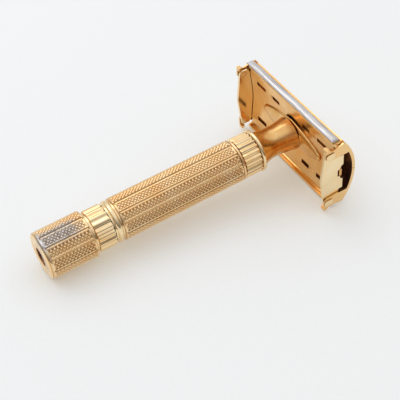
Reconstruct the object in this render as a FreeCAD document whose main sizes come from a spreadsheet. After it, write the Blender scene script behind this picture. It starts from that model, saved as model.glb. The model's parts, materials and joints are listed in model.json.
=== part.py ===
import FreeCAD, Part
import math
import os
import re
import Sketcher

# Double-edge safety razor of the twist-to-open kind, in millimetres.
#
# Every piece is drawn with the handle axis along Z: the knob's end face is z = 0 and the head is
# at the top. X runs along the head, Y across it. In the assembly the razor lies on its side on
# the knob's lower rim and the lower guard bar, so all pieces share one rest placement.
#
# The knob turns the drive nut, the nut raises the draw rod, and the rod carries the blade
# platform with its end plates. The two doors hinge on the end plates and swing open as it rises.

DIMENSIONS = {
    # knob and its fluted sleeve
    "knob_radius": 6.65,
    "knob_length": 13.7,
    "knob_rounding": 1.0,
    "knob_mouth_radius": 2.6,
    "knob_end_wall": 1.4,
    "knob_cavity_radius": 4.6,
    "sleeve_foot": 0.8,
    "sleeve_foot_radius": 5.3,
    "sleeve_radius": 5.9,
    "sleeve_top": 19.6,
    "edge_break": 0.3,
    # drive train inside the handle
    "rod_radius": 1.55,
    "rod_bottom": 1.4,
    "running_gap": 0.05,
    "seat_gap": 0.03,
    "nut_bottom": 3.0,
    "shank_radius": 3.4,
    "shank_top": 25.6,
    "clip_bottom": 24.1,
    "clip_thickness": 0.6,
    "clip_inner_radius": 2.93,
    "clip_outer_radius": 4.3,
    "clip_gap_width": 3.4,
    "washer_thickness": 0.4,
    "washer_outer_radius": 4.6,
    # bearing ring between the knob's sleeve and the barrel
    "ring_top": 22.1,
    "ring_land_radius": 5.5,
    "ring_land": 0.45,
    "ring_bead_arc": 0.82,
    "ring_spigot": 1.5,
    # knurled barrel
    "barrel_top": 60.1,
    "barrel_radius": 6.05,
    "barrel_bore": 4.9,
    "barrel_bead_bottom": 59.15,
    "barrel_bead_radius": 5.85,
    "barrel_bead_arc": 0.5,
    "barrel_flute_cutter": 0.5,
    "barrel_flute_offset": 0.2,
    # fluted collar, bright ring and waisted neck
    "collar_top": 65.5,
    "collar_radius": 5.95,
    "flute_cutter": 0.62,
    "flute_offset": 0.34,
    "bright_ring_top": 66.7,
    "bright_ring_land_radius": 5.7,
    "bright_ring_arc": 0.61,
    "neck_spigot_bottom": 55.0,
    "neck_base_radius": 5.3,
    "neck_waist_radius": 4.22,
    "neck_waist_height": 71.5,
    "neck_lower_arc": 11.2,
    "neck_upper_arc": 30.0,
    "neck_top_radius": 5.0,
    "neck_top": 78.0,
    "neck_bore": 3.2,
    "guide_bottom": 73.0,
    # spine under the guard plate
    "spine_root_radius": 5.15,
    "spine_tip_radius": 1.4,
    "spine_tip_reach": 12.1,
    "spine_tip_rise": 0.8,
    "rod_hole": 1.9,
    # guard plate
    "floor_bottom": 79.2,
    "floor_top": 80.0,
    "floor_half_length": 19.6,
    "bar_half_length": 20.55,
    "bar_inner_edge": 10.2,
    "bar_end_rounding": 1.8,
    "trough_edge": 10.9,
    "trough_wall": 11.7,
    "trough_wall_height": 78.5,
    "lip_inner_edge": 11.75,
    "lip_inner_height": 77.7,
    "lip_edge": 12.33,
    "lip_height": 77.5,
    "bar_top_edge": 12.3,
    "bar_top_shoulder": 79.8,
    "bar_crest_edge": 12.0,
    "bar_arc": 1.4,
    "slot_inner_edge": 6.1,
    "slot_outer_edge": 7.5,
    "slot_one_start": 5.4,
    "slot_one_end": 8.8,
    "slot_two_start": 12.2,
    "slot_two_end": 16.5,
    "tab_start": 9.2,
    "tab_end": 11.5,
    "tab_inner_edge": 6.4,
    "tab_outer_edge": 7.4,
    "tab_bottom": 78.5,
    # carriage
    "platform_bottom": 80.05,
    "platform_top": 81.3,
    "platform_half_length": 19.8,
    "platform_half_width": 5.9,
    "platform_tab_half_width": 1.15,
    "platform_tab_top": 80.9,
    "stud_radius": 1.1,
    "bar_half_width": 0.7,
    "bar_top": 83.2,
    "rail_half_length": 18.2,
    "rail_notch_start": 5.0,
    "rail_notch_end": 9.0,
    "rail_notch_depth": 0.8,
    # end plates
    "end_plate_inner": 19.8,
    "end_plate_outer": 20.6,
    "end_plate_keel": 74.0,
    "end_plate_heel": 75.05,
    "end_plate_heel_edge": 9.6,
    "end_plate_corner_height": 75.6,
    "end_plate_edge": 10.1,
    "end_plate_edge_top": 77.6,
    "end_plate_shoulder_foot": 80.2,
    "end_plate_shoulder_edge": 6.25,
    "end_plate_shoulder_inner": 2.7,
    "end_plate_notch_top": 80.3,
    "end_plate_notch_half_width": 1.25,
    "end_plate_notch_floor": 79.5,
    # doors
    "door_apex": 84.86,
    "door_arc": 18.6,
    "door_thickness": 0.95,
    "door_edge": 10.95,
    "door_gap": 0.06,
    "door_shell_half_length": 19.6,
    "door_ear_inner": 20.7,
    "door_ear_outer": 21.2,
    "door_wing_edge": 8.5,
    "ear_inner_edge": 7.15,
    "ear_throat_height": 78.7,
    "ear_outer_edge": 11.25,
    "ear_outer_height": 80.6,
    "ear_waist_edge": 10.5,
    "ear_waist_height": 77.2,
    "eye_radius": 1.55,
    "tail_inner_edge": 10.7,
    "tail_outer_edge": 12.4,
    "tail_bottom": 74.0,
    "tail_top": 75.8,
    "tail_inner_end": 19.3,
    "pivot_across": 8.93,
    "pivot_height": 76.3,
    "pin_radius": 0.9,
    "pin_head_thickness": 0.3,
    "pin_head_half_height": 1.6,
    "pin_head_radius": 1.3,
}
SLEEVE_FLUTES = 18
BARREL_FLUTES = 12
COLLAR_FLUTES = 24
SIDES = (1, -1)

document = FreeCAD.newDocument("safety_razor")
sheet = document.addObject("Spreadsheet::Sheet", "Dims")
for row, (alias, value) in enumerate(DIMENSIONS.items(), start=1):
    sheet.set("A%d" % row, alias)
    sheet.set("B%d" % row, str(value))
    sheet.setAlias("B%d" % row, alias)
document.recompute()

NODES = []


# ---------------------------------------------------------------- helpers

def linked(expression):
    """Point each dimension's name in an expression at its cell in the sheet."""
    def to_cell(match):
        name = match.group(0)
        return "Dims." + name if name in DIMENSIONS else name
    return re.sub(r"[A-Za-z_][A-Za-z_0-9]*", to_cell, expression)


def size(expression):
    """The value in millimetres of an expression of sheet dimensions."""
    value = sheet.evalExpression(linked(expression))
    return float(getattr(value, "Value", value))


def bind(item, prop, expression):
    item.setExpression(prop, linked(expression))


def node(item, label):
    """Mark an object as one piece of the razor, under its own name."""
    item.Label = label
    NODES.append(item)
    return item


def new_body(label):
    return node(document.addObject("PartDesign::Body", label), label)


def plane_sketch(body, role, height=None):
    """A sketch on one of the body's own planes, moved along the plane's normal to a height."""
    sketch = body.newObject("Sketcher::SketchObject", body.Name + "_outline")
    plane = [item for item in body.Origin.OriginFeatures if item.Role == role][0]
    sketch.AttachmentSupport = [(plane, "")]
    sketch.MapMode = "FlatFace"
    if height is not None:
        bind(sketch, "AttachmentOffset.Base.z", height)
    return sketch


def pin_point(sketch, geometry, end, across, up):
    """Hold one end of a line or arc at a place given by two expressions."""
    for kind, axis, expression in (("DistanceX", -2, across), ("DistanceY", -1, up)):
        value = size(expression)
        if abs(value) < 1e-9:
            sketch.addConstraint(Sketcher.Constraint("PointOnObject", geometry, end, axis))
        else:
            rule = Sketcher.Constraint(kind, -1, 1, geometry, end, value)
            bind(sketch, "Constraints[%d]" % sketch.addConstraint(rule), expression)


def arc_between(start, finish, radius):
    """The short arc from start to finish; a positive radius turns left, a negative one right."""
    chord = finish - start
    left = FreeCAD.Vector(-chord.y, chord.x, 0).normalize()
    if radius < 0:
        left = left * -1
    reach = math.sqrt(max(0.0, radius * radius - chord.Length ** 2 / 4))
    centre = (start + finish) * 0.5 + left * reach
    return Part.Arc(start, centre - left * abs(radius), finish)


def closed_outline(sketch, corners):
    """Draw a closed outline through corners of (across, up) or (across, up, arc radius to next)."""
    places = [FreeCAD.Vector(size(corner[0]), size(corner[1]), 0) for corner in corners]
    ends = []
    for number, corner in enumerate(corners):
        start = places[number]
        finish = places[(number + 1) % len(places)]
        if len(corner) == 3:
            index = sketch.addGeometry(arc_between(start, finish, size(corner[2])), False)
        else:
            index = sketch.addGeometry(Part.LineSegment(start, finish), False)
        forwards = sketch.getPoint(index, 1).distanceToPoint(start) < 1e-6
        ends.append((index, 1, 2) if forwards else (index, 2, 1))
    for number, corner in enumerate(corners):
        index, first, last = ends[number]
        following = ends[(number + 1) % len(ends)]
        sketch.addConstraint(Sketcher.Constraint("Coincident", index, last, following[0], following[1]))
        pin_point(sketch, index, first, corner[0], corner[1])
        if len(corner) == 3:
            rule = Sketcher.Constraint("Radius", index, abs(size(corner[2])))
            radius = corner[2].lstrip("-")
            bind(sketch, "Constraints[%d]" % sketch.addConstraint(rule), radius)


def circle(sketch, across, up, radius):
    place = FreeCAD.Vector(size(across), size(up), 0)
    ring = Part.Circle(place, FreeCAD.Vector(0, 0, 1), size(radius))
    index = sketch.addGeometry(ring, False)
    rule = Sketcher.Constraint("Radius", index, size(radius))
    bind(sketch, "Constraints[%d]" % sketch.addConstraint(rule), radius)
    pin_point(sketch, index, 3, across, up)


def rectangle(sketch, left, right, low, high):
    closed_outline(sketch, [(left, low), (right, low), (right, high), (left, high)])


def turned(label, corners):
    """A piece turned about the handle axis from corners of (radius, height)."""
    body = new_body(label)
    sketch = plane_sketch(body, "XZ_Plane")
    closed_outline(sketch, corners)
    solid = body.newObject("PartDesign::Revolution", label + "_turning")
    solid.Profile = sketch
    solid.ReferenceAxis = (sketch, ["V_Axis"])
    solid.Angle = 360
    document.recompute()
    return body


def pad(body, sketch, length, reverse=False, both=False):
    solid = body.newObject("PartDesign::Pad", body.Name + "_pad")
    solid.Profile = sketch
    bind(solid, "Length", length)
    solid.Reversed = reverse
    if both:
        solid.SideType = "Symmetric"
    document.recompute()
    return solid


def checked_cut(body, cut):
    """Recompute and make sure that a cut took something away."""
    before = cut.BaseFeature.Shape.Volume
    document.recompute()
    if cut.Shape.Volume > before - 1e-4:
        raise RuntimeError(cut.Name + " in " + body.Label + " cuts nothing")
    return cut


def cut_through(body, sketch):
    """Cut a sketch's outlines right through the body, both ways."""
    cut = body.newObject("PartDesign::Pocket", body.Name + "_cut")
    cut.Profile = sketch
    cut.Type = "ThroughAll"
    cut.SideType = "Symmetric"
    return checked_cut(body, cut)


def cut_down(body, sketch, depth):
    """Cut a sketch's outlines from its plane against the plane's normal."""
    cut = body.newObject("PartDesign::Pocket", body.Name + "_cut")
    cut.Profile = sketch
    bind(cut, "Length", depth)
    return checked_cut(body, cut)


def round_pattern(body, feature, sketch, count):
    """Repeat a feature evenly about the handle axis."""
    pattern = body.newObject("PartDesign::PolarPattern", body.Name + "_pattern")
    pattern.Originals = [feature]
    pattern.Axis = (sketch, ["N_Axis"])
    pattern.Angle = 360
    pattern.Occurrences = count
    body.Tip = pattern
    document.recompute()
    return pattern


def add_flutes(body, count, top, length, radius, cutter, offset):
    """Cut straight hollow flutes along a turned piece, all round it."""
    sketch = plane_sketch(body, "XY_Plane", top)
    circle(sketch, radius + " + " + offset, "0", cutter)
    round_pattern(body, cut_down(body, sketch, length), sketch, count)


# ---------------------------------------------------------------- knob

def make_knob():
    turned("knob", [
        ("knob_mouth_radius", "0"),
        ("knob_radius - knob_rounding", "0", "knob_rounding"),
        ("knob_radius", "knob_rounding"),
        ("knob_radius", "knob_length - 0.7", "0.9"),
        ("knob_radius - 0.55", "knob_length"),
        ("knob_cavity_radius", "knob_length"),
        ("knob_cavity_radius", "knob_end_wall"),
        ("knob_mouth_radius", "knob_end_wall"),
    ])


def make_knob_sleeve():
    foot_top = "knob_length + sleeve_foot"
    bore = "shank_radius + seat_gap"
    sleeve = turned("knob_sleeve", [
        (bore, "knob_length"),
        ("sleeve_foot_radius", "knob_length"),
        ("sleeve_foot_radius", foot_top),
        ("sleeve_radius - edge_break", foot_top),
        ("sleeve_radius", foot_top + " + edge_break"),
        ("sleeve_radius", "sleeve_top - edge_break"),
        ("sleeve_radius - edge_break", "sleeve_top"),
        (bore, "sleeve_top"),
    ])
    length = "sleeve_top - knob_length - sleeve_foot"
    add_flutes(sleeve, SLEEVE_FLUTES, "sleeve_top", length, "sleeve_radius",
               "flute_cutter", "flute_offset")


def make_drive_nut():
    bore = "rod_radius + running_gap"
    hub = "knob_cavity_radius - seat_gap"
    groove = "clip_inner_radius - seat_gap"
    turned("drive_nut", [
        (bore, "nut_bottom"),
        (hub, "nut_bottom"),
        (hub, "knob_length"),
        ("shank_radius", "knob_length"),
        ("shank_radius", "clip_bottom - running_gap"),
        (groove, "clip_bottom - running_gap"),
        (groove, "clip_bottom + clip_thickness + running_gap"),
        ("shank_radius", "clip_bottom + clip_thickness + running_gap"),
        ("shank_radius", "shank_top"),
        (bore, "shank_top"),
    ])


def make_retaining_ring():
    """A flat open ring that snaps into the groove of the drive nut's shank."""
    body = new_body("retaining_ring")
    sketch = plane_sketch(body, "XY_Plane", "clip_bottom")
    circle(sketch, "0", "0", "clip_outer_radius")
    circle(sketch, "0", "0", "clip_inner_radius")
    pad(body, sketch, "clip_thickness")
    opening = plane_sketch(body, "XY_Plane")
    rectangle(opening, "0", "clip_outer_radius + 1", "-clip_gap_width / 2", "clip_gap_width / 2")
    cut_through(body, opening)


# ---------------------------------------------------------------- handle

def make_bearing_ring():
    bore = "shank_radius + running_gap"
    bottom = "sleeve_top + running_gap"
    spigot = "barrel_bore - seat_gap"
    turned("bearing_ring", [
        (bore, bottom),
        ("ring_land_radius", bottom),
        ("ring_land_radius", bottom + " + ring_land", "ring_bead_arc"),
        ("ring_land_radius", "ring_top - ring_land"),
        ("ring_land_radius", "ring_top"),
        (spigot, "ring_top"),
        (spigot, "ring_top + ring_spigot"),
        (bore, "ring_top + ring_spigot"),
    ])


def make_thrust_washer():
    bottom = "ring_top + ring_spigot"
    bore = "shank_radius + 2 * running_gap"
    turned("thrust_washer", [
        (bore, bottom),
        ("washer_outer_radius", bottom),
        ("washer_outer_radius", bottom + " + washer_thickness"),
        (bore, bottom + " + washer_thickness"),
    ])


def make_barrel():
    barrel = turned("barrel", [
        ("barrel_bore", "ring_top"),
        ("barrel_radius - edge_break", "ring_top"),
        ("barrel_radius", "ring_top + edge_break"),
        ("barrel_radius", "barrel_bead_bottom - edge_break"),
        ("barrel_bead_radius", "barrel_bead_bottom", "barrel_bead_arc"),
        ("barrel_bead_radius", "barrel_top - 0.1"),
        ("barrel_bead_radius - edge_break", "barrel_top"),
        ("barrel_bore", "barrel_top"),
    ])
    top = "barrel_bead_bottom - edge_break"
    add_flutes(barrel, BARREL_FLUTES, top, top + " - ring_top", "barrel_radius",
               "barrel_flute_cutter", "barrel_flute_offset")


def make_fluted_collar():
    collar = turned("fluted_collar", [
        ("barrel_bore", "barrel_top"),
        ("collar_radius - edge_break", "barrel_top"),
        ("collar_radius", "barrel_top + edge_break"),
        ("collar_radius", "collar_top - edge_break"),
        ("collar_radius - edge_break", "collar_top"),
        ("barrel_bore", "collar_top"),
    ])
    add_flutes(collar, COLLAR_FLUTES, "collar_top", "collar_top - barrel_top", "collar_radius",
               "flute_cutter", "flute_offset")


def make_bright_ring():
    turned("bright_ring", [
        ("barrel_bore", "collar_top"),
        ("bright_ring_land_radius", "collar_top", "bright_ring_arc"),
        ("bright_ring_land_radius", "bright_ring_top"),
        ("barrel_bore", "bright_ring_top"),
    ])


def make_neck():
    """Waisted tube with a long spigot that holds the ring, the collar and the barrel."""
    spigot = "barrel_bore - seat_gap"
    turned("neck", [
        ("neck_bore", "neck_spigot_bottom"),
        (spigot, "neck_spigot_bottom"),
        (spigot, "bright_ring_top"),
        ("neck_base_radius", "bright_ring_top", "-neck_lower_arc"),
        ("neck_waist_radius", "neck_waist_height", "-neck_upper_arc"),
        ("neck_top_radius", "neck_top"),
        ("neck_bore", "neck_top"),
    ])


def make_rod_guide():
    bore = "rod_radius + running_gap"
    outside = "neck_bore - seat_gap"
    turned("rod_guide", [
        (bore, "guide_bottom"),
        (outside, "guide_bottom"),
        (outside, "neck_top"),
        (bore, "neck_top"),
    ])


# ---------------------------------------------------------------- fixed part of the head

def make_spine():
    """Leaf-shaped rib between the neck and the guard plate, thinning towards its two tips."""
    body = new_body("spine")
    slope = "((spine_root_radius - spine_tip_radius) / spine_tip_reach)"
    fall = "sqrt(1 - " + slope + "^2)"
    root_along = "spine_root_radius * " + slope
    root_across = "spine_root_radius * " + fall
    tip_along = "spine_tip_reach + spine_tip_radius * " + slope
    tip_across = "spine_tip_radius * " + fall
    sketch = plane_sketch(body, "XY_Plane", "neck_top")
    closed_outline(sketch, [
        (root_along, root_across, "spine_root_radius"),
        ("-(" + root_along + ")", root_across),
        ("-(" + tip_along + ")", tip_across, "spine_tip_radius"),
        ("-(" + tip_along + ")", "-" + tip_across),
        ("-(" + root_along + ")", "-" + root_across, "spine_root_radius"),
        (root_along, "-" + root_across),
        (tip_along, "-" + tip_across, "spine_tip_radius"),
        (tip_along, tip_across),
    ])
    pad(body, sketch, "floor_bottom - neck_top")
    tip_end = "(spine_tip_reach + 2 * spine_tip_radius)"
    slants = plane_sketch(body, "XZ_Plane")
    for sign in ("", "-"):
        closed_outline(slants, [
            (sign + "spine_root_radius", "neck_top - 0.01"),
            (sign + tip_end, "neck_top - 0.01"),
            (sign + tip_end, "neck_top + spine_tip_rise"),
        ])
    cut_through(body, slants)
    hole = plane_sketch(body, "XY_Plane")
    circle(hole, "0", "0", "rod_hole")
    cut_through(body, hole)


def guard_section():
    """Corners of the guard plate's section (across, height), anticlockwise from the lower right."""
    right = [
        ("trough_edge", "floor_bottom", "-0.95"),
        ("trough_wall", "trough_wall_height"),
        ("lip_inner_edge", "lip_inner_height"),
        ("lip_edge", "lip_height", "bar_arc"),
        ("bar_top_edge", "bar_top_shoulder"),
        ("bar_crest_edge", "floor_top"),
    ]
    left = []
    for number in range(len(right) - 1, -1, -1):
        across, up = right[number][:2]
        arc = right[number - 1][2:] if number else ()
        left.append(("-" + across, up) + arc)
    return right + left


def make_guard_plate():
    """Pressed plate whose two long sides turn down into the rounded guard bars."""
    body = new_body("guard_plate")
    section = plane_sketch(body, "YZ_Plane")
    closed_outline(section, guard_section())
    pad(body, section, "2 * bar_half_length", both=True)

    ends = plane_sketch(body, "XY_Plane")
    far = "(bar_half_length + 1)"
    for sign in ("", "-"):
        closed_outline(ends, [
            (sign + "floor_half_length", "-bar_inner_edge"),
            (sign + far, "-bar_inner_edge"),
            (sign + far, "bar_inner_edge"),
            (sign + "floor_half_length", "bar_inner_edge"),
        ])
    cut_through(body, ends)

    corners = plane_sketch(body, "XY_Plane")
    outside = "(lip_edge + bar_end_rounding)"
    round_start = "(bar_half_length - bar_end_rounding)"
    widest = "(lip_edge + 0.6)"
    for along in ("", "-"):
        for across in ("", "-"):
            turn = "bar_end_rounding" if along == across else "-bar_end_rounding"
            closed_outline(corners, [
                (along + "bar_half_length", across + "(" + widest + " - bar_end_rounding)", turn),
                (along + round_start, across + widest),
                (along + round_start, across + outside),
                (along + far, across + outside),
                (along + far, across + "(" + widest + " - bar_end_rounding)"),
            ])
    cut_through(body, corners)

    openings = plane_sketch(body, "XY_Plane")
    circle(openings, "0", "0", "rod_hole")
    runs = (
        ("slot_one_start", "slot_one_end", "slot_inner_edge", "slot_outer_edge"),
        ("slot_two_start", "slot_two_end", "slot_inner_edge", "slot_outer_edge"),
        ("tab_start", "tab_end", "tab_inner_edge", "tab_outer_edge"),
    )
    for start, end, inner, outer in runs:
        for along in ("", "-"):
            for across in ("", "-"):
                rectangle(openings, along + start, along + end, across + inner, across + outer)
    cut_through(body, openings)


def make_floor_tabs():
    """Four square tabs of the spine, staked through the floor of the guard plate."""
    number = 0
    for along in ("", "-"):
        for across in ("", "-"):
            number += 1
            body = new_body("floor_tab_%d" % number)
            sketch = plane_sketch(body, "XY_Plane", "tab_bottom")
            rectangle(sketch, along + "tab_start", along + "tab_end",
                      across + "tab_inner_edge", across + "tab_outer_edge")
            pad(body, sketch, "floor_top - tab_bottom")


# ---------------------------------------------------------------- carriage

def make_draw_rod():
    turned("draw_rod", [
        ("0", "rod_bottom"),
        ("rod_radius - 0.4", "rod_bottom"),
        ("rod_radius", "rod_bottom + 0.4"),
        ("rod_radius", "platform_bottom"),
        ("stud_radius", "platform_bottom"),
        ("stud_radius", "platform_top"),
        ("0", "platform_top"),
    ])


def make_blade_platform():
    """Flat bed under the blade, with a tab at each end that enters the end plate's notch."""
    body = new_body("blade_platform")
    bed = plane_sketch(body, "XY_Plane", "platform_bottom")
    rectangle(bed, "-platform_half_length", "platform_half_length",
              "-platform_half_width", "platform_half_width")
    pad(body, bed, "platform_top - platform_bottom")
    tabs = plane_sketch(body, "XY_Plane", "platform_bottom")
    rectangle(tabs, "-end_plate_outer", "end_plate_outer",
              "-platform_tab_half_width", "platform_tab_half_width")
    pad(body, tabs, "platform_tab_top - platform_bottom")
    hole = plane_sketch(body, "XY_Plane")
    circle(hole, "0", "0", "stud_radius + seat_gap")
    cut_through(body, hole)


def make_blade_rail():
    """Upright rail along the middle of the platform that goes through the blade's slot."""
    body = new_body("blade_rail")
    sketch = plane_sketch(body, "XZ_Plane")
    low = "bar_top - rail_notch_depth"
    half = [
        ("rail_half_length", "platform_top"),
        ("rail_half_length", "bar_top"),
        ("rail_notch_end", "bar_top"),
        ("rail_notch_end", low),
        ("rail_notch_start", low),
        ("rail_notch_start", "bar_top"),
    ]
    mirrored = [("-" + along, up) for along, up in reversed(half)]
    closed_outline(sketch, half + mirrored)
    pad(body, sketch, "2 * bar_half_width", both=True)


def make_end_plate(label, side):
    """Plate across one end of the carriage: it holds two hinge pins and the platform's tab."""
    body = new_body(label)
    inner = "end_plate_inner" if side > 0 else "-end_plate_outer"
    sketch = plane_sketch(body, "YZ_Plane", inner)
    right = [
        ("end_plate_heel_edge", "end_plate_heel"),
        ("end_plate_edge", "end_plate_corner_height"),
        ("end_plate_edge", "end_plate_edge_top"),
        ("end_plate_shoulder_edge", "end_plate_shoulder_foot"),
        ("end_plate_shoulder_edge", "platform_top"),
        ("end_plate_shoulder_inner", "platform_top", "-1.3"),
        ("end_plate_notch_half_width", "end_plate_notch_top"),
        ("end_plate_notch_half_width", "end_plate_notch_floor"),
    ]
    left = []
    for number in range(len(right) - 1, -1, -1):
        across, up = right[number][:2]
        arc = right[number - 1][2:] if number else ()
        left.append(("-" + across, up) + arc)
    closed_outline(sketch, [("0", "end_plate_keel")] + right + left)
    pad(body, sketch, "end_plate_outer - end_plate_inner")
    holes = plane_sketch(body, "YZ_Plane")
    for sign in ("", "-"):
        circle(holes, sign + "pivot_across", "pivot_height", "pin_radius + seat_gap")
    cut_through(body, holes)


def make_hinge_pin(label, end, side):
    """Pin through one end plate and one door ear, with a long rounded head outside."""
    body = new_body(label)
    across = "pivot_across" if side > 0 else "-pivot_across"
    head_start = "door_ear_outer + running_gap"
    start = "end_plate_inner" if end > 0 else "-(" + head_start + ")"
    shank = plane_sketch(body, "YZ_Plane", start)
    circle(shank, across, "pivot_height", "pin_radius")
    pad(body, shank, head_start + " - end_plate_inner")
    start = head_start if end > 0 else "-(" + head_start + " + pin_head_thickness)"
    head = plane_sketch(body, "YZ_Plane", start)
    reach = "(pin_head_half_height - 0.6)"
    closed_outline(head, [
        (across + " + 0.95", "pivot_height - " + reach),
        (across + " + 0.95", "pivot_height + " + reach, "pin_head_radius"),
        (across + " - 0.95", "pivot_height + " + reach),
        (across + " - 0.95", "pivot_height - " + reach, "pin_head_radius"),
    ])
    pad(body, head, "pin_head_thickness")


# ---------------------------------------------------------------- doors

def make_door(label, side):
    """Curved door with an ear at each end; each ear has a pivot eye and a turned-in tail."""
    body = new_body(label)
    sign = "" if side > 0 else "-"
    turn = "" if side > 0 else "-"
    back = "-" if side > 0 else ""
    centre = "(door_apex - door_arc)"
    inner_arc = "(door_arc - door_thickness)"

    def crown(across, radius):
        return centre + " + sqrt(" + radius + "^2 - (" + across + ")^2)"

    edge_ratio = "(1 - door_thickness / door_arc)"
    inner_edge = "door_edge * " + edge_ratio
    inner_height = centre + " + " + edge_ratio + " * sqrt(door_arc^2 - door_edge^2)"
    shell = plane_sketch(body, "YZ_Plane")
    closed_outline(shell, [
        (sign + "door_edge", crown("door_edge", "door_arc"), turn + "door_arc"),
        (sign + "door_gap", crown("door_gap", "door_arc")),
        (sign + "door_gap", crown("door_gap", inner_arc), back + inner_arc),
        (sign + inner_edge, inner_height),
    ])
    pad(body, shell, "2 * door_ear_outer", both=True)

    ends = plane_sketch(body, "XY_Plane")
    for along in ("", "-"):
        rectangle(ends, along + "door_shell_half_length", along + "(door_ear_outer + 1)",
                  sign + "door_wing_edge", sign + "(door_edge + 1)")
    cut_through(body, ends)

    for end in SIDES:
        start = "door_ear_inner" if end > 0 else "-door_ear_outer"
        thickness = "door_ear_outer - door_ear_inner"
        ear = plane_sketch(body, "YZ_Plane", start)
        closed_outline(ear, [
            (sign + "ear_inner_edge", "ear_throat_height"),
            (sign + "(pivot_across - eye_radius)", "pivot_height + 0.3"),
            (sign + "pivot_across", "pivot_height - eye_radius + 0.1"),
            (sign + "tail_inner_edge", "tail_bottom"),
            (sign + "tail_outer_edge", "tail_bottom"),
            (sign + "tail_outer_edge", "tail_top"),
            (sign + "ear_waist_edge", "ear_waist_height - 0.6"),
            (sign + "ear_waist_edge", "ear_waist_height"),
            (sign + "ear_outer_edge", "ear_outer_height"),
            (sign + "door_edge", crown("door_edge", "door_arc"), turn + "door_arc"),
            (sign + "ear_inner_edge", crown("ear_inner_edge", "door_arc")),
        ])
        pad(body, ear, thickness)
        eye = plane_sketch(body, "YZ_Plane", start)
        circle(eye, sign + "pivot_across", "pivot_height", "eye_radius")
        pad(body, eye, thickness)
        start = "tail_inner_end" if end > 0 else "-door_ear_outer"
        tail = plane_sketch(body, "YZ_Plane", start)
        rectangle(tail, sign + "tail_inner_edge", sign + "tail_outer_edge", "tail_bottom", "tail_top")
        pad(body, tail, "door_ear_outer - tail_inner_end")

    holes = plane_sketch(body, "YZ_Plane")
    circle(holes, sign + "pivot_across", "pivot_height", "pin_radius + running_gap")
    cut_through(body, holes)


# ---------------------------------------------------------------- assembly

def rest_placement():
    """Lay the razor on the knob's rim and the lower guard bar, its base centred on the origin."""
    bulge = max(vertex.Y for vertex in guard_outline_points())
    bulge_height = (size("lip_height") + size("bar_top_shoulder")) / 2
    rise = bulge - size("knob_radius")
    run = bulge_height - size("knob_rounding")
    tilt = math.atan2(rise, run)
    cosine = math.cos(tilt)
    sine = math.sin(tilt)
    turn = FreeCAD.Matrix(0, -sine, cosine, 0, 1, 0, 0, 0, 0, cosine, sine, 0, 0, 0, 0, 1)
    box = FreeCAD.BoundBox()
    for item in NODES:
        shape = item.Shape.copy()
        shape.transformShape(turn)
        box.add(shape.optimalBoundingBox(False))
    shift = FreeCAD.Vector(-box.Center.x, -box.Center.y, -box.ZMin)
    print("tilt %.3f degrees, size %.2f x %.2f x %.2f" % (
        math.degrees(tilt), box.XLength, box.YLength, box.ZLength))
    placement = FreeCAD.Placement(turn)
    placement.Base = shift
    return placement


def guard_outline_points():
    """Points on the guard plate's section, which give its widest reach across the head."""
    plate = [item for item in NODES if item.Label == "guard_plate"][0]
    section = plate.Shape.slice(FreeCAD.Vector(1, 0, 0), 1.0)[0]
    return [Part.Vertex(point) for point in section.discretize(2000)]


def make_all():
    make_knob()
    make_knob_sleeve()
    make_drive_nut()
    make_retaining_ring()
    make_bearing_ring()
    make_thrust_washer()
    make_barrel()
    make_fluted_collar()
    make_bright_ring()
    make_neck()
    make_rod_guide()
    make_spine()
    make_guard_plate()
    make_floor_tabs()
    make_draw_rod()
    make_blade_platform()
    make_blade_rail()
    make_end_plate("far_end_plate", 1)
    make_end_plate("near_end_plate", -1)
    for end, end_name in zip(SIDES, ("far", "near")):
        for side, side_name in zip(SIDES, ("upper", "lower")):
            make_hinge_pin("%s_%s_pin" % (side_name, end_name), end, side)
    make_door("upper_door", 1)
    make_door("lower_door", -1)


def check_and_export():
    for item in document.Objects:
        if "Invalid" in item.State or "Error" in item.State:
            raise RuntimeError(item.Label + " failed: " + str(item.State))
    os.makedirs("parts", exist_ok=True)
    for item in NODES:
        if item.Shape.isNull() or not item.Shape.isValid():
            raise RuntimeError(item.Label + " has no valid shape")
        item.Shape.exportStep("parts/" + item.Label + ".step")
        print("%-16s solids %d volume %9.2f" % (item.Label, len(item.Shape.Solids), item.Shape.Volume))


make_all()
document.recompute()
rest = rest_placement()
for piece in NODES:
    piece.Placement = rest
document.recompute()
print("placement", rest)
check_and_export()
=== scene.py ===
import json
import math

import bmesh
import bpy
from mathutils import Matrix, Vector


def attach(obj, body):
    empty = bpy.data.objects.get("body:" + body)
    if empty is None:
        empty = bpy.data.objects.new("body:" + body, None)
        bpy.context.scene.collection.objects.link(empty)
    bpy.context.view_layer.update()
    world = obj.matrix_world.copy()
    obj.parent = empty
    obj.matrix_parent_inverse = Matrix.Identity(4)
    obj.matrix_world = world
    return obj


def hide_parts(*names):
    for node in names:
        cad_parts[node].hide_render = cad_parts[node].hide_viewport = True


# Looks of a gold-plated twist-to-open safety razor.
#
# Sizes are in millimetres in the razor's own frame: X along the head, Y across it, and Z up the
# handle from the knob's end face. RAZOR takes that frame to Blender's metres. Each piece's ends,
# outer radius and bore are measured from the CAD node that it stands for.

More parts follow.
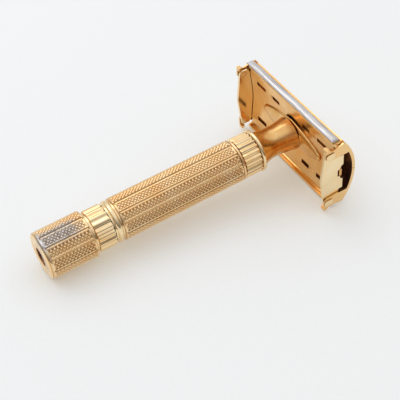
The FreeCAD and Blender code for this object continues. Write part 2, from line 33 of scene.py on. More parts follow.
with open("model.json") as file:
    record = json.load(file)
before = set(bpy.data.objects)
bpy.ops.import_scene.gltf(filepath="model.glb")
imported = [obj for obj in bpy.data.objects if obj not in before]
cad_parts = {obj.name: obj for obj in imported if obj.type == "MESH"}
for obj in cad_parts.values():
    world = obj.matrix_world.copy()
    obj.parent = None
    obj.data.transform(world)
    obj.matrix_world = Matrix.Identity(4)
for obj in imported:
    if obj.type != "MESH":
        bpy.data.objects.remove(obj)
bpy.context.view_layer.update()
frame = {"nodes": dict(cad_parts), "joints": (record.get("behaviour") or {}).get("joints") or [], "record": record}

JOINTS = {joint["name"]: joint for joint in frame["joints"]}
MOUNTS = {mount["name"]: mount for mount in frame["record"]["mounts"]}
SLOTS = {part["node"]: part["material_slot"] for part in frame["record"]["subparts"]}
BODY_OF = {node: body for body, nodes in frame["record"]["behaviour"]["bodies"].items() for node in nodes}

HANDLE_AXIS = Vector(JOINTS["knob_turn"]["axis"]).normalized()
ALONG = Vector((0, 1, 0))
ACROSS = HANDLE_AXIS.cross(ALONG)
ON_AXIS = Vector(JOINTS["knob_turn"]["pos_m"])
END_FACE = Vector(MOUNTS["knob_end_face"]["pos_m"])
ORIGIN = ON_AXIS + HANDLE_AXIS * (END_FACE - ON_AXIS).dot(HANDLE_AXIS)
MM = 0.001

RAZOR = Matrix.Translation(ORIGIN) @ Matrix((ALONG, ACROSS, HANDLE_AXIS)).transposed().to_4x4()
RAZOR = RAZOR @ Matrix.Scale(MM, 4)
TO_RAZOR = RAZOR.inverted()


# ---------------------------------------------------------------- measuring the CAD

def points(node):
    return [TO_RAZOR @ vertex.co for vertex in frame["nodes"][node].data.vertices]


def span(node, axis):
    """Lowest and highest place of a node along one of the razor's axes (0, 1 or 2)."""
    places = [point[axis] for point in points(node)]
    return min(places), max(places)


def radius(node):
    """Largest distance from the handle axis."""
    return max(math.hypot(point.x, point.y) for point in points(node))


def bore(node):
    """Smallest distance from the handle axis."""
    return min(math.hypot(point.x, point.y) for point in points(node))


# ---------------------------------------------------------------- building pieces

def make_piece(name, vertices, faces, node, material, sharp=40):
    """A mesh in razor millimetres that stands for one CAD node and rides on its body."""
    mesh = bpy.data.meshes.new(name)
    mesh.from_pydata([RAZOR @ Vector(place) for place in vertices], [], faces)
    mesh.validate()
    shape = bmesh.new()
    shape.from_mesh(mesh)
    bmesh.ops.recalc_face_normals(shape, faces=shape.faces)
    shape.to_mesh(mesh)
    shape.free()
    piece = bpy.data.objects.new(name, mesh)
    bpy.context.scene.collection.objects.link(piece)
    mesh.materials.append(material)
    mesh.shade_smooth()
    mesh.set_sharp_from_angle(angle=math.radians(sharp))
    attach(piece, BODY_OF[node])
    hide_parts(node)
    return piece


def arc(start, finish, bulge, steps):
    """Places from start to finish on an arc that stands bulge out to the left of the chord."""
    (x0, y0), (x1, y1) = start, finish
    chord = math.hypot(x1 - x0, y1 - y0)
    half = chord / 2
    turn = 2 * math.atan2(bulge, half)
    big = half / math.sin(turn)
    across = Vector((-(y1 - y0), x1 - x0)) / chord
    middle = Vector((x0 + x1, y0 + y1)) / 2
    centre = middle + across * (bulge - big)
    first = Vector((x0, y0)) - centre
    return [tuple(centre + Matrix.Rotation(-2 * turn * step / steps, 2) @ first) for step in range(steps + 1)]


def lathe(name, outline, columns, node, material, relief=None, sharp=40):
    """Turn a closed outline of (radius, height) about the handle axis.

    columns are the angles of the mesh's columns. relief(column, row) is how far a vertex sinks
    towards the axis. Each quad is split along its lower diagonal, which keeps pyramids crisp."""
    vertices = []
    depths = []
    for row, place in enumerate(outline):
        for column, angle in enumerate(columns):
            depth = relief(column, row) if relief else 0
            reach = place[0] - depth
            vertices.append((reach * math.cos(angle), reach * math.sin(angle), place[1]))
            depths.append(depth)
    faces = []
    count = len(columns)
    rows = len(outline)
    for row in range(rows):
        above = (row + 1) % rows
        for column in range(count):
            beside = (column + 1) % count
            a, b = row * count + column, row * count + beside
            c, d = above * count + beside, above * count + column
            if relief is None:
                faces.append((a, b, c, d))
            elif depths[a] + depths[c] >= depths[b] + depths[d]:
                faces.extend([(a, b, c), (a, c, d)])
            else:
                faces.extend([(a, b, d), (b, c, d)])
    return make_piece(name, vertices, faces, node, material, sharp)


def cad_shape(node, cuts=()):
    """The CAD node's mesh in razor millimetres, cleaned up and cut across at the given Y places."""
    shape = bmesh.new()
    shape.from_mesh(frame["nodes"][node].data)
    shape.transform(TO_RAZOR)
    bmesh.ops.remove_doubles(shape, verts=shape.verts, dist=0.001)
    bmesh.ops.dissolve_limit(shape, angle_limit=math.radians(1), verts=shape.verts, edges=shape.edges)
    for cut in cuts:
        parts = shape.verts[:] + shape.edges[:] + shape.faces[:]
        bmesh.ops.bisect_plane(shape, geom=parts, dist=0.0005, plane_co=(0, cut, 0), plane_no=(0, 1, 0))
    places = [vertex.co.copy() for vertex in shape.verts]
    faces = [[vertex.index for vertex in face.verts] for face in shape.faces]
    shape.free()
    return places, faces


def round_edges(piece, width, segments=3, sharp=30):
    bevel = piece.modifiers.new("rounding", "BEVEL")
    bevel.width = width * MM
    bevel.segments = segments
    bevel.limit_method = "ANGLE"
    bevel.angle_limit = math.radians(sharp)
    bevel.harden_normals = True


def softened(node, width, sharp=30):
    """The CAD node's own shape with its sharp edges rounded off."""
    places, faces = cad_shape(node)
    piece = make_piece(node + "_finish", places, faces, node, finish_of(node), sharp)
    round_edges(piece, width, sharp=sharp)


# ---------------------------------------------------------------- materials

def new_material(name, metallic=1.0, roughness=0.2):
    material = bpy.data.materials.new(name)
    material.use_nodes = True
    nodes = material.node_tree.nodes
    shader = nodes["Principled BSDF"]
    shader.inputs["Metallic"].default_value = metallic
    shader.inputs["Roughness"].default_value = roughness
    return material, nodes, material.node_tree.links, shader


def noise_node(nodes, links, place, scale, detail=4, stretch=None):
    """Noise in the piece's own coordinates; stretch squeezes it along the razor's axes."""
    texture = nodes.new("ShaderNodeTexNoise")
    texture.inputs["Scale"].default_value = scale
    texture.inputs["Detail"].default_value = detail
    texture.inputs["Roughness"].default_value = 0.6
    if stretch:
        mapping = nodes.new("ShaderNodeMapping")
        mapping.inputs["Scale"].default_value = stretch
        links.new(place, mapping.inputs["Vector"])
        place = mapping.outputs["Vector"]
    links.new(place, texture.inputs["Vector"])
    return texture.outputs["Fac"]


def ramp_node(nodes, links, factor, stops):
    """A colour ramp through stops of (position, colour)."""
    ramp = nodes.new("ShaderNodeValToRGB")
    elements = ramp.color_ramp.elements
    while len(elements) < len(stops):
        elements.new(0.5)
    for element, (position, colour) in zip(elements, stops):
        element.position = position
        element.color = (*colour, 1)
    links.new(factor, ramp.inputs["Fac"])
    return ramp.outputs["Color"]


def place_node(nodes):
    return nodes.new("ShaderNodeTexCoord").outputs["Object"]


def distance_node(nodes, links, place, direction):
    """How far a point lies from the knob's end, in millimetres, along a direction of the razor's frame."""
    towards = (RAZOR.to_3x3() @ Vector(direction)).normalized()
    dot = nodes.new("ShaderNodeVectorMath")
    dot.operation = "DOT_PRODUCT"
    dot.inputs[1].default_value = towards / MM
    links.new(place, dot.inputs[0])
    shift = nodes.new("ShaderNodeMath")
    shift.operation = "SUBTRACT"
    shift.inputs[1].default_value = ORIGIN.dot(towards) / MM
    links.new(dot.outputs["Value"], shift.inputs[0])
    return shift.outputs["Value"]


def math_node(nodes, links, operation, first, second):
    """A maths node on two inputs, each a socket or a number."""
    node = nodes.new("ShaderNodeMath")
    node.operation = operation
    for socket, value in zip(node.inputs, (first, second)):
        if isinstance(value, (int, float)):
            socket.default_value = value
        else:
            links.new(value, socket)
    return node.outputs["Value"]


def span_node(nodes, links, value, low, high, to_low=0.0, to_high=1.0):
    """Map low..high to to_low..to_high, and hold it outside that range."""
    node = nodes.new("ShaderNodeMapRange")
    node.inputs["From Min"].default_value = low
    node.inputs["From Max"].default_value = high
    node.inputs["To Min"].default_value = to_low
    node.inputs["To Max"].default_value = to_high
    links.new(value, node.inputs["Value"])
    return node.outputs["Result"]


def radius_node(nodes, links, place):
    """Distance from the handle axis in millimetres."""
    along = distance_node(nodes, links, place, (1, 0, 0))
    across = distance_node(nodes, links, place, (0, 1, 0))
    square = math_node(nodes, links, "MULTIPLY", along, along)
    other = math_node(nodes, links, "MULTIPLY", across, across)
    return math_node(nodes, links, "SQRT", math_node(nodes, links, "ADD", square, other), 0)


def mix_node(nodes, links, factor, first, second):
    """Blend two colours; each is a socket or a plain colour."""
    node = nodes.new("ShaderNodeMixRGB")
    links.new(factor, node.inputs["Fac"])
    for socket, value in ((node.inputs["Color1"], first), (node.inputs["Color2"], second)):
        if isinstance(value, tuple):
            socket.default_value = (*value, 1)
        else:
            links.new(value, socket)
    return node.outputs["Color"]


def crevice_node(nodes, reach):
    """1 on open faces and lower in crevices; reach is how far apart the walls can be, in millimetres."""
    crevice = nodes.new("ShaderNodeAmbientOcclusion")
    crevice.samples = 8
    crevice.inputs["Distance"].default_value = reach * MM
    return crevice.outputs["AO"]


def multiply_node(nodes, links, first, second):
    """One colour socket multiplied by another."""
    node = nodes.new("ShaderNodeMixRGB")
    node.blend_type = "MULTIPLY"
    node.inputs["Fac"].default_value = 1
    links.new(first, node.inputs["Color1"])
    links.new(second, node.inputs["Color2"])
    return node.outputs["Color"]


def gold(name, pale, deep, roughness=0.16, spread=0.12, relief=None, bare=None, crevice_shade_reach=0.45):
    """Plated brass: its colour drifts between pale and deep, and handling has dulled it in patches.

    relief, as (outer radius, depth), paints shade into a knurl's valleys by their depth. bare makes the mask of
    the places where the plate has worn off. crevice_shade_reach is the reach in millimetres of the painted shade
    that darkens crevices."""
    material, nodes, links, shader = new_material(name)
    place = place_node(nodes)
    drift = noise_node(nodes, links, place, DRIFT_SCALE)
    colour = ramp_node(nodes, links, drift, [(0.3, deep), (0.7, pale)])
    wear = noise_node(nodes, links, place, WEAR_SCALE, detail=6)
    rough = span_node(nodes, links, wear, 0.3, 0.75, roughness, roughness + spread)
    if bare:
        mask = bare(nodes, links, place)
        lines = noise_node(nodes, links, place, LINE_SCALE, detail=2, stretch=LINE_STRETCH)
        metal = ramp_node(nodes, links, lines, [(0.38, DARK_METAL), (0.5, BARE_METAL)])
        colour = mix_node(nodes, links, mask, colour, metal)
        rough = math_node(nodes, links, "ADD", rough, math_node(nodes, links, "MULTIPLY", mask, 0.16))
    # Painted shade: a knurl's valleys are darkened by how deep they sink below the crest.
    if relief:
        crest, depth = relief
        height = radius_node(nodes, links, place)
        share = span_node(nodes, links, height, crest - 2 * depth, crest)
        colour = multiply_node(nodes, links, colour, ramp_node(nodes, links, share, KNURL_VALLEY_SHADE_RAMP))
    # Painted shade: crevices and narrow gaps are darkened by an ambient-occlusion node.
    open_share = span_node(nodes, links, crevice_node(nodes, crevice_shade_reach), 0.3, 0.75)
    colour = multiply_node(nodes, links, colour, ramp_node(nodes, links, open_share, CREVICE_SHADE_RAMP))
    links.new(colour, shader.inputs["Base Color"])
    links.new(rough, shader.inputs["Roughness"])
    bump = nodes.new("ShaderNodeBump")
    bump.inputs["Strength"].default_value = 0.12
    bump.inputs["Distance"].default_value = 0.05 * MM
    links.new(noise_node(nodes, links, place, SCRATCH_SCALE, detail=3), bump.inputs["Height"])
    links.new(bump.outputs["Normal"], shader.inputs["Normal"])
    return material


def worn_bar(nodes, links, place):
    """The outer faces of the guard bars, with a ragged edge, fine lengthwise lines and a few pits."""
    across = distance_node(nodes, links, place, (0, 1, 0))
    side = math_node(nodes, links, "ABSOLUTE", across, 0)
    height = distance_node(nodes, links, place, (0, 0, 1))
    drift = noise_node(nodes, links, place, 500, detail=5)
    edge = math_node(nodes, links, "ADD", side, math_node(nodes, links, "MULTIPLY", drift, 0.25))
    outer = span_node(nodes, links, edge, BAR_WEAR_START, BAR_WEAR_START + 0.1)
    lines = math_node(nodes, links, "SINE", math_node(nodes, links, "MULTIPLY", height, BAR_LINES), 0)
    kept = span_node(nodes, links, lines, 0.75, 1.0, 1.0, 0.35)
    pits = span_node(nodes, links, noise_node(nodes, links, place, 1400, detail=2), 0.68, 0.72, 1.0, 0.0)
    return math_node(nodes, links, "MULTIPLY", outer, math_node(nodes, links, "MULTIPLY", kept, pits))


def worn_grip(nodes, links, place):
    """The knob's worn patch: a strip along one side, from the end face to most of its length."""
    reach = distance_node(nodes, links, place, (math.cos(WORN_ANGLE), math.sin(WORN_ANGLE), 0))
    height = distance_node(nodes, links, place, (0, 0, 1))
    drift = noise_node(nodes, links, place, 900, detail=6)
    ragged = math_node(nodes, links, "ADD", reach, drift)
    side = span_node(nodes, links, ragged, *GRIP_WEAR_REACH)
    slant = math_node(nodes, links, "ADD", height, math_node(nodes, links, "MULTIPLY", drift, 6))
    end = span_node(nodes, links, slant, *GRIP_WEAR_END)
    return math_node(nodes, links, "MULTIPLY", math_node(nodes, links, "MULTIPLY", side, end), 0.9)


def make_inside_shade():
    """Inner faces: pale gold in the middle of the head and brown-black painted shade near its ends."""
    material, nodes, links, shader = new_material("inner_painted_shade", metallic=0.8, roughness=0.3)
    place = place_node(nodes)
    mottle = noise_node(nodes, links, place, 420, detail=6)
    dark = ramp_node(nodes, links, mottle, [(0.3, (0.06, 0.025, 0.025)), (0.75, (0.16, 0.07, 0.05))])
    along = math_node(nodes, links, "ABSOLUTE", distance_node(nodes, links, place, (1, 0, 0)), 0)
    # Painted shade: the inner faces turn brown-black towards the head's ends.
    near_end = span_node(nodes, links, along, *INSIDE_SHADE_START)
    links.new(mix_node(nodes, links, near_end, PALE_GOLD, dark), shader.inputs["Base Color"])
    return material


DRIFT_SCALE = 140
WEAR_SCALE = 350
SCRATCH_SCALE = 3000
CREAM_GOLD = (0.99, 0.82, 0.54)
SOFT_GOLD = (0.94, 0.64, 0.32)
PALE_GOLD = (0.96, 0.78, 0.50)
WARM_GOLD = (0.90, 0.60, 0.28)
DEEP_GOLD = (0.84, 0.44, 0.13)
BARE_METAL = (0.60, 0.63, 0.68)
DARK_METAL = (0.34, 0.35, 0.37)
LINE_SCALE = 2600
LINE_STRETCH = (1.0, 0.04, 1.0)
WORN_ANGLE = math.radians(100)
GRIP_WEAR_REACH = (6.2, 6.75)
GRIP_WEAR_END = (15.5, 12.5)
BAR_WEAR_START = 12.4
BAR_LINES = 15.0
INSIDE_SHADE_START = (13, 17)
# Painted shade for knurls: crests keep their colour and valleys turn dark brown.
KNURL_VALLEY_SHADE_RAMP = [
    (0.0, (1.0, 0.92, 0.8)), (0.3, (1.0, 0.92, 0.8)), (0.42, (0.42, 0.26, 0.16)),
    (0.62, (0.75, 0.6, 0.46)), (1.0, (1.0, 1.0, 1.0)),
]
# Painted shade for crevices: dark brown where closed in, none where open.
CREVICE_SHADE_RAMP = [(0.0, (0.2, 0.1, 0.06)), (0.5, (0.62, 0.45, 0.34)), (1.0, (1.0, 1.0, 1.0))]
KNURL_DEPTH = 0.24
BARREL_KNURL = (radius("barrel"), KNURL_DEPTH)
KNOB_KNURL = (radius("knob"), KNURL_DEPTH)

MATERIALS = {
    "gold_knurled": gold("gold_knurled", CREAM_GOLD, SOFT_GOLD, 0.18, relief=BARREL_KNURL),
    "gold_fluted": gold("gold_fluted", PALE_GOLD, WARM_GOLD, 0.12),
    "gold_polished": gold("gold_polished", (0.88, 0.56, 0.24), (0.68, 0.34, 0.09), 0.14, crevice_shade_reach=0.8),
    "gold_bright": gold("gold_bright", PALE_GOLD, (0.92, 0.68, 0.36), 0.1, 0.1),
    "gold_worn": gold("gold_worn", WARM_GOLD, (0.88, 0.55, 0.23), 0.16),
    "plain_brass": gold("plain_brass", (0.80, 0.66, 0.36), (0.68, 0.50, 0.24), 0.3),
    "bare_copper_alloy": gold("bare_copper_alloy", (0.55, 0.27, 0.16), (0.28, 0.12, 0.08), 0.3),
    "spring_steel": gold("spring_steel", (0.62, 0.61, 0.6), (0.5, 0.49, 0.48), 0.3),
}
WORN_KNURL = gold(
    "gold_knurled_worn", CREAM_GOLD, SOFT_GOLD, 0.18, relief=KNOB_KNURL, bare=worn_grip, crevice_shade_reach=0.9
)
WORN_BARS = gold("gold_bars_worn", WARM_GOLD, DEEP_GOLD, 0.16, bare=worn_bar)
SHADED_INSIDE_MATERIAL = make_inside_shade()
# Near-black brown for the inside of the knob's cavity: painted shade.
MOUTH_SHADE = gold("mouth_painted_shade", (0.30, 0.14, 0.08), (0.12, 0.05, 0.03), 0.35)


def finish_of(node):
    return MATERIALS[SLOTS[node]]


# ---------------------------------------------------------------- turned pieces of the handle

def even_columns(count):
    return [2 * math.pi * step / count for step in range(count)]


PLAIN_COLUMNS = even_columns(128)

# The spigots of the bearing ring and the neck sit inside the tube beside them.
SPIGOT_RADIUS = 4.87
NECK_FOOT = 5.3
NECK_WAIST = (4.22, 71.5)
NECK_TOP = 5.0

# The knurl runs in twelve bands, each two diamonds wide, with a straight groove between bands.
BANDS = 12
DIAMONDS_ACROSS = 2
DIAMOND_STEPS = 6
GROOVE_STEPS = 6
GROOVE_WIDTH = 0.92
DIAMOND_LENGTH = 1.05
GROOVE_DEPTH = 0.36


def knurl_columns(outside):
    """Column angles round the handle, and for each column its place in a band or a groove."""
    band_angle = 2 * math.pi / BANDS
    groove_angle = GROOVE_WIDTH / outside
    knurl_steps = DIAMONDS_ACROSS * DIAMOND_STEPS
    angles = []
    places = []
    for band in range(BANDS):
        start = band * band_angle - groove_angle / 2
        for step in range(GROOVE_STEPS):
            share = step / GROOVE_STEPS
            angles.append(start + groove_angle * share)
            places.append(("groove", 2 * share - 1))
        start += groove_angle
        for step in range(knurl_steps):
            angles.append(start + (band_angle - groove_angle) * step / knurl_steps)
            places.append(("knurl", step / DIAMOND_STEPS))
    return angles, places


def zigzag(value):
    """0 at whole numbers and 1 halfway between them."""
    return 1 - abs(2 * (value - math.floor(value)) - 1)


def knurled(name, node, below, knurl_from, knurl_to, above, inside, material):
    """A knurled tube: the outline below the knurl, the knurl itself, and the outline above it.

    below and above are outlines of (radius, height); inside closes the outline down the bore."""
    outside = radius(node)
    angles, places = knurl_columns(outside)
    rows = round((knurl_to - knurl_from) / DIAMOND_LENGTH) * DIAMOND_STEPS
    step = (knurl_to - knurl_from) / rows
    body_rows = [(outside, knurl_from + step * row) for row in range(rows + 1)]
    outline = below + body_rows + above + inside
    first = len(below)
    fade = 2

    def relief(column, row):
        kind, place = places[column]
        number = row - first
        if kind == "groove":
            if not -1 <= number <= rows + 1:
                return 0
            strength = min(1, max(0, number + 2) / 3, max(0, rows - number + 2) / 3)
            return GROOVE_DEPTH * math.sqrt(max(0, 1 - place * place)) * strength
        if not 0 <= number <= rows:
            return 0
        strength = min(1, number / fade, (rows - number) / fade)
        along = number / DIAMOND_STEPS
        crest = min(zigzag(place + along), zigzag(place - along))
        return KNURL_DEPTH * (1 - min(crest, 0.85) / 0.85) * strength

    return lathe(name, outline, angles, node, material, relief, sharp=60)


def make_barrel():
    """Knurled tube with a plain ring bead at its top."""
    node = "barrel"
    low, high = span(node, 2)
    outside = radius(node)
    hole = bore(node)
    below = [(hole, low), (outside - 0.4, low)]
    below += arc((outside - 0.35, low + 0.02), (outside - 0.02, low + 0.35), -0.1, 4)
    bead = high - 0.95
    above = [(outside - 0.05, bead - 0.2), (outside - 0.3, bead - 0.02)]
    above += arc((outside - 0.3, bead), (outside - 0.3, high - 0.12), -0.26, 8)
    above += [(outside - 0.4, high)]
    inside = [(hole, high)]
    knurled("knurled_barrel", node, below, low + 0.4, bead - 0.25, above, inside, finish_of(node))


def make_knob():
    """Knurled hollow knob, open at its end face, with painted shade on the faces inside."""
    node = "knob"
    low, high = span(node, 2)
    outside = radius(node)
    mouth = bore(node)
    wall = 1.4
    cavity = 4.6
    below = [(mouth + 0.12, low)]
    below += arc((outside - 1.05, low), (outside, low + 1.05), -0.31, 8)
    above = arc((outside - 0.02, high - 0.35), (outside - 0.35, high - 0.02), -0.1, 4)
    above += [(outside - 0.7, high)]
    inside = [(cavity, high), (cavity, low + wall), (mouth, low + wall), (mouth, low + 0.12)]
    piece = knurled("knurled_knob", node, below, low + 1.1, high - 0.4, above, inside, WORN_KNURL)
    mesh = piece.data
    # Faces inside the cavity take the painted-shade material.
    mesh.materials.append(MOUTH_SHADE)
    for face in mesh.polygons:
        centre = TO_RAZOR @ face.center
        if math.hypot(centre.x, centre.y) < cavity and centre.z > low + 0.05:
            face.material_index = 1


FLUTE_STEPS = 12
FLUTE_DEPTH = 0.4


def fluted(name, node, flutes, foot=None):
    """A collar with even waves of ridges and valleys; foot is (radius, height) of a step below them."""
    low, high = span(node, 2)
    outside = radius(node)
    hole = bore(node)
    columns = even_columns(flutes * FLUTE_STEPS)
    start = low
    outline = [(hole, low)]
    if foot:
        outline += [(foot[0], low), (foot[0], low + foot[1])]
        start = low + foot[1]
    first = len(outline)
    outline += [(outside - 0.5, start + 0.01)]
    outline += arc((outside - 0.3, start + 0.04), (outside, start + 0.34), -0.09, 4)
    outline += [(outside, start + 0.34 + (high - start - 0.68) * step / 4) for step in range(1, 4)]
    outline += arc((outside, high - 0.34), (outside - 0.3, high - 0.04), -0.09, 4)
    outline += [(outside - 0.5, high - 0.01)]
    last = len(outline) - 1
    outline += [(hole, high)]

    def relief(column, row):
        if not first <= row <= last:
            return 0
        return FLUTE_DEPTH * math.sin(math.pi * column / FLUTE_STEPS) ** 2

    lathe(name, outline, columns, node, finish_of(node), relief, sharp=60)


def make_bright_ring():
    """Half-round polished ring."""
    node = "bright_ring"
    low, high = span(node, 2)
    outside = radius(node)
    hole = bore(node)
    land = outside - 0.5
    outline = [(hole, low), (land, low)]
    outline += arc((land, low + 0.02), (land, high - 0.02), -0.5, 16)
    outline += [(hole, high)]
    lathe("bright_ring_finish", outline, PLAIN_COLUMNS, node, finish_of(node))


def make_bearing_ring():
    """Smooth ring with one bead and a spigot above it."""
    node = "bearing_ring"
    low, high = span(node, 2)
    outside = radius(node)
    hole = bore(node)
    land = 5.5
    top = high - 1.5
    outline = [(hole, low), (land, low), (land, low + 0.4)]
    outline += arc((land, low + 0.45), (land, top - 0.45), land - outside, 16)
    outline += [(land, top), (SPIGOT_RADIUS, top), (SPIGOT_RADIUS, high), (hole, high)]
    lathe("bearing_ring_finish", outline, PLAIN_COLUMNS, node, finish_of(node))


def make_neck():
    """Polished neck, narrowest at its waist, with a spigot below it."""
    node = "neck"
    low, high = span(node, 2)
    hole = bore(node)
    base = span("bright_ring", 2)[1]
    outline = [(hole, low), (SPIGOT_RADIUS, low), (SPIGOT_RADIUS, base)]
    lower = arc((NECK_FOOT, base), NECK_WAIST, 0.28, 14)
    upper = arc(NECK_WAIST, (NECK_TOP, high), 0.18, 14)
    outline += lower + upper[1:] + [(hole, high)]
    lathe("waisted_neck", outline, PLAIN_COLUMNS, node, finish_of(node))


make_barrel()
make_knob()
fluted("fluted_collar_finish", "fluted_collar", 24)
fluted("fluted_knob_sleeve", "knob_sleeve", 18, foot=(5.3, 0.8))
make_bright_ring()
make_bearing_ring()
make_neck()

# ---------------------------------------------------------------- head

FLOOR_SAG = 0.75
ROD_HOLE = 1.9


def make_guard_plate():
    """The CAD's guard plate with its floor arched, lowest towards the two troughs."""
    node = "guard_plate"
    floor = span("neck", 2)[1] + 1.2
    edge = 10.2
    cuts = [edge * step / 12 for step in range(-12, 13)]
    places, faces = cad_shape(node, cuts)
    for place in places:
        if abs(place.y) <= edge + 0.01 and place.z > floor - 0.3:
            place.z -= FLOOR_SAG * (1 - math.cos(math.pi * place.y / edge)) / 2
    piece = make_piece("arched_guard_plate", places, faces, node, WORN_BARS, 30)
    round_edges(piece, 0.2)


SPINE_ROWS = 60
SPINE_COLUMNS = 20
SPINE_TIP_RADIUS = 1.4
SPINE_SINK = 0.12


def spine_sheet(raised):
    """One face of the leaf as a grid of places: crowned if raised is 1, flat if it is 0."""
    tip = span("spine", 0)[1]
    root = span("spine", 1)[1]
    base = span("spine", 2)[1] + SPINE_SINK
    reach = tip - SPINE_TIP_RADIUS
    places = []
    for row in range(SPINE_ROWS + 1):
        x = tip * (2 * row / SPINE_ROWS - 1)
        if abs(x) <= reach:
            half = SPINE_TIP_RADIUS + (root - SPINE_TIP_RADIUS) * (1 - abs(x) / reach) ** 0.7
        else:
            half = math.sqrt(max(0, SPINE_TIP_RADIUS ** 2 - (abs(x) - reach) ** 2))
        thick = (1.5 - 0.55 * abs(x) / tip) * min(1, half / SPINE_TIP_RADIUS) ** 0.5
        for column in range(SPINE_COLUMNS + 1):
            u = 2 * column / SPINE_COLUMNS - 1
            crown = max(0, 1 - abs(u) ** 3.5) ** 0.6 * (1 - 0.12 * u * u)
            places.append((x, half * u, base - raised * thick * crown))
    return places


def edges_of(face):
    return list(zip(face, face[1:] + face[:1]))


def make_spine():
    """Leaf-shaped rib with a crowned face, two rounded tips and a bore for the draw rod."""
    places = spine_sheet(1) + spine_sheet(0)
    sheet = len(places) // 2
    solid = []
    bored = []
    for row in range(SPINE_ROWS):
        for column in range(SPINE_COLUMNS):
            near = row * (SPINE_COLUMNS + 1) + column
            far = near + SPINE_COLUMNS + 1
            face = (near, near + 1, far + 1, far)
            x = sum(places[corner][0] for corner in face) / 4
            y = sum(places[corner][1] for corner in face) / 4
            if math.hypot(x, y) > ROD_HOLE:
                solid.append(face)
            else:
                bored.append(face)
    solid_edges = {frozenset(edge) for face in solid for edge in edges_of(face)}
    rim = [edge for face in bored for edge in edges_of(face) if frozenset(edge) in solid_edges]
    faces = solid + [tuple(corner + sheet for corner in face) for face in solid]
    faces += [(a, b, b + sheet, a + sheet) for a, b in rim]
    for corner in {corner for edge in rim for corner in edge}:
        for number in (corner, corner + sheet):
            x, y, z = places[number]
            stretch = ROD_HOLE / math.hypot(x, y)
            places[number] = (x * stretch, y * stretch, z)
    piece = make_piece("leaf_spine", places, faces, "spine", finish_of("spine"), 50)
    weld(piece)


def weld(piece, distance=0.002):
    """Join vertices that lie on one another, which closes a piece made of sheets, and drop spare ones."""
    shape = bmesh.new()
    shape.from_mesh(piece.data)
    bmesh.ops.remove_doubles(shape, verts=shape.verts, dist=distance * MM)
    spare = [vertex for vertex in shape.verts if not vertex.link_faces]
    bmesh.ops.delete(shape, geom=spare, context="VERTS")
    bmesh.ops.recalc_face_normals(shape, faces=shape.faces)
    shape.to_mesh(piece.data)
    shape.free()


TAIL_EDGE = 10.6
TAIL_TOP = 75.8
TAIL_SHARE = 0.55
TAIL_START = 19.75


def make_door(node):
    """A curved door with rounded edges and trimmed tails; its inner faces carry painted shade near the head's
    ends.
    """
    places, faces = cad_shape(node)
    for place in places:
        if abs(place.y) > TAIL_EDGE and place.z < TAIL_TOP:
            place.z = TAIL_TOP - (TAIL_TOP - place.z) * TAIL_SHARE
        if abs(place.y) > TAIL_EDGE and place.z < TAIL_TOP + 0.1:
            beyond = (abs(place.y) - TAIL_EDGE) * TAIL_SHARE
            place.y = math.copysign(TAIL_EDGE + beyond, place.y)
            place.x = math.copysign(max(abs(place.x), TAIL_START), place.x)
    piece = make_piece(node + "_finish", places, faces, node, finish_of(node), 30)
    round_edges(piece, 0.16)
    mesh = piece.data
    # Inner faces take the material with painted shade near the head's ends.
    mesh.materials.append(SHADED_INSIDE_MATERIAL)
    low = span("blade_platform", 2)[1]
    reach = 1.5 - span("near_end_plate", 0)[1]
    for face in mesh.polygons:
        centre = TO_RAZOR @ face.center
        normal = (TO_RAZOR.to_3x3() @ face.normal).normalized()
        if normal.z < -0.3 and centre.z > low and abs(centre.x) < reach:
            face.material_index = 1


make_guard_plate()
make_spine()
make_door("upper_door")
make_door("lower_door")
for node, width in (
    ("near_end_plate", 0.12), ("far_end_plate", 0.12), ("blade_platform", 0.1), ("blade_rail", 0.12),
    ("upper_near_pin", 0.12), ("lower_near_pin", 0.12), ("upper_far_pin", 0.12), ("lower_far_pin", 0.12),
    ("floor_tab_1", 0.15), ("floor_tab_2", 0.15), ("floor_tab_3", 0.15), ("floor_tab_4", 0.15),
    ("draw_rod", 0.15),
):
    softened(node, width)

# Every CAD node gets its finish; it shows on the pieces inside the handle that nothing replaces.
for node, item in frame["nodes"].items():
    item.data.materials.clear()
    item.data.materials.append(finish_of(node))


# ---------------------------------------------------------------- floor, light and camera

PAPER_GLOW = (0.33, 0.28, 0.205)
PAPER_DARK = (0.57, 0.645, 0.74)
PAPER_LIGHT = (0.585, 0.66, 0.755)


def make_floor():
    """Pale paper that glows a little and warmly, so that shadows on it stay light."""
    material, nodes, links, shader = new_material("pale_paper", metallic=0.0, roughness=0.9)
    fibre = noise_node(nodes, links, place_node(nodes), 900)
    colour = ramp_node(nodes, links, fibre, [(0.3, PAPER_DARK), (0.7, PAPER_LIGHT)])
    links.new(colour, shader.inputs["Base Color"])
    shader.inputs["Emission Color"].default_value = (*PAPER_GLOW, 1)
    shader.inputs["Emission Strength"].default_value = 1
    half = 1.5
    corners = [(-half, -half, 0), (half, -half, 0), (half, half, 0), (-half, half, 0)]
    mesh = bpy.data.meshes.new("paper_floor")
    mesh.from_pydata(corners, [], [(0, 1, 2, 3)])
    floor = bpy.data.objects.new("paper_floor", mesh)
    bpy.context.scene.collection.objects.link(floor)
    mesh.materials.append(material)


def area_light(name, place, target, width, height, power, colour):
    lamp = bpy.data.lights.new(name, "AREA")
    lamp.shape = "RECTANGLE"
    lamp.size = width
    lamp.size_y = height
    lamp.energy = power
    lamp.color = colour
    item = bpy.data.objects.new(name, lamp)
    bpy.context.scene.collection.objects.link(item)
    item.location = place
    item.rotation_euler = (Vector(target) - Vector(place)).to_track_quat("-Z", "Y").to_euler()


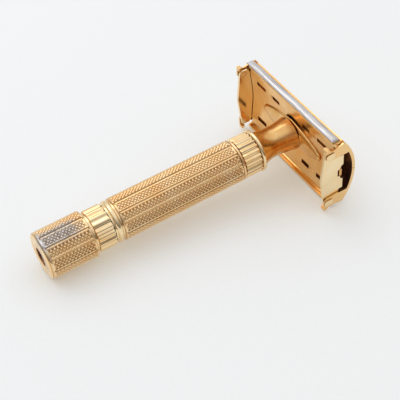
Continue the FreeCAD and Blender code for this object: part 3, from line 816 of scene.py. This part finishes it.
def make_light():
    """A soft sky, brightest overhead and dimmest low behind the camera, and one large lamp."""
    world = bpy.data.worlds.new("studio")
    bpy.context.scene.world = world
    world.use_nodes = True
    nodes = world.node_tree.nodes
    links = world.node_tree.links
    background = nodes["Background"]
    direction = nodes.new("ShaderNodeTexCoord").outputs["Generated"]
    facing = nodes.new("ShaderNodeVectorMath")
    facing.operation = "DOT_PRODUCT"
    facing.inputs[1].default_value = SKY_SIDE
    links.new(direction, facing.inputs[0])
    spread = nodes.new("ShaderNodeMapRange")
    spread.inputs["From Min"].default_value = -1
    links.new(facing.outputs["Value"], spread.inputs["Value"])
    sky = ramp_node(nodes, links, spread.outputs["Result"], SKY)
    seen = nodes.new("ShaderNodeLightPath").outputs["Is Camera Ray"]
    links.new(mix_node(nodes, links, seen, sky, BACKDROP), background.inputs["Color"])
    background.inputs["Strength"].default_value = 1.0
    area_light("key", (-0.12, 0.30, 0.50), (0, 0, 0), 0.6, 0.35, KEY_POWER, (1.0, 0.98, 0.96))


SKY_SIDE = (0.1, 0.35, 0.93)
SKY = [
    (0.0, (0.2, 0.19, 0.18)), (0.45, (0.22, 0.2, 0.19)), (0.6, (0.42, 0.41, 0.4)),
    (0.7, (0.6, 0.59, 0.58)), (0.82, (0.92, 0.92, 0.92)), (1.0, (1.0, 1.0, 1.0)),
]
BACKDROP = (0.88, 0.89, 0.89)
KEY_POWER = 0.7


CAMERA_PLACE = (-160.9, 189.9, -36.5)
CAMERA_TARGET = (-7.05, 0.0, 44.0)
LENS = 86.7


def make_camera():
    data = bpy.data.cameras.new("camera")
    data.lens = LENS
    data.sensor_width = 36
    data.clip_start = 0.01
    camera = bpy.data.objects.new("camera", data)
    bpy.context.scene.collection.objects.link(camera)
    camera.location = RAZOR @ Vector(CAMERA_PLACE)
    view = RAZOR @ Vector(CAMERA_TARGET) - camera.location
    camera.rotation_euler = view.to_track_quat("-Z", "Y").to_euler()
    bpy.context.scene.camera = camera


make_floor()
make_light()
make_camera()
bpy.context.scene.view_settings.view_transform = "Standard"
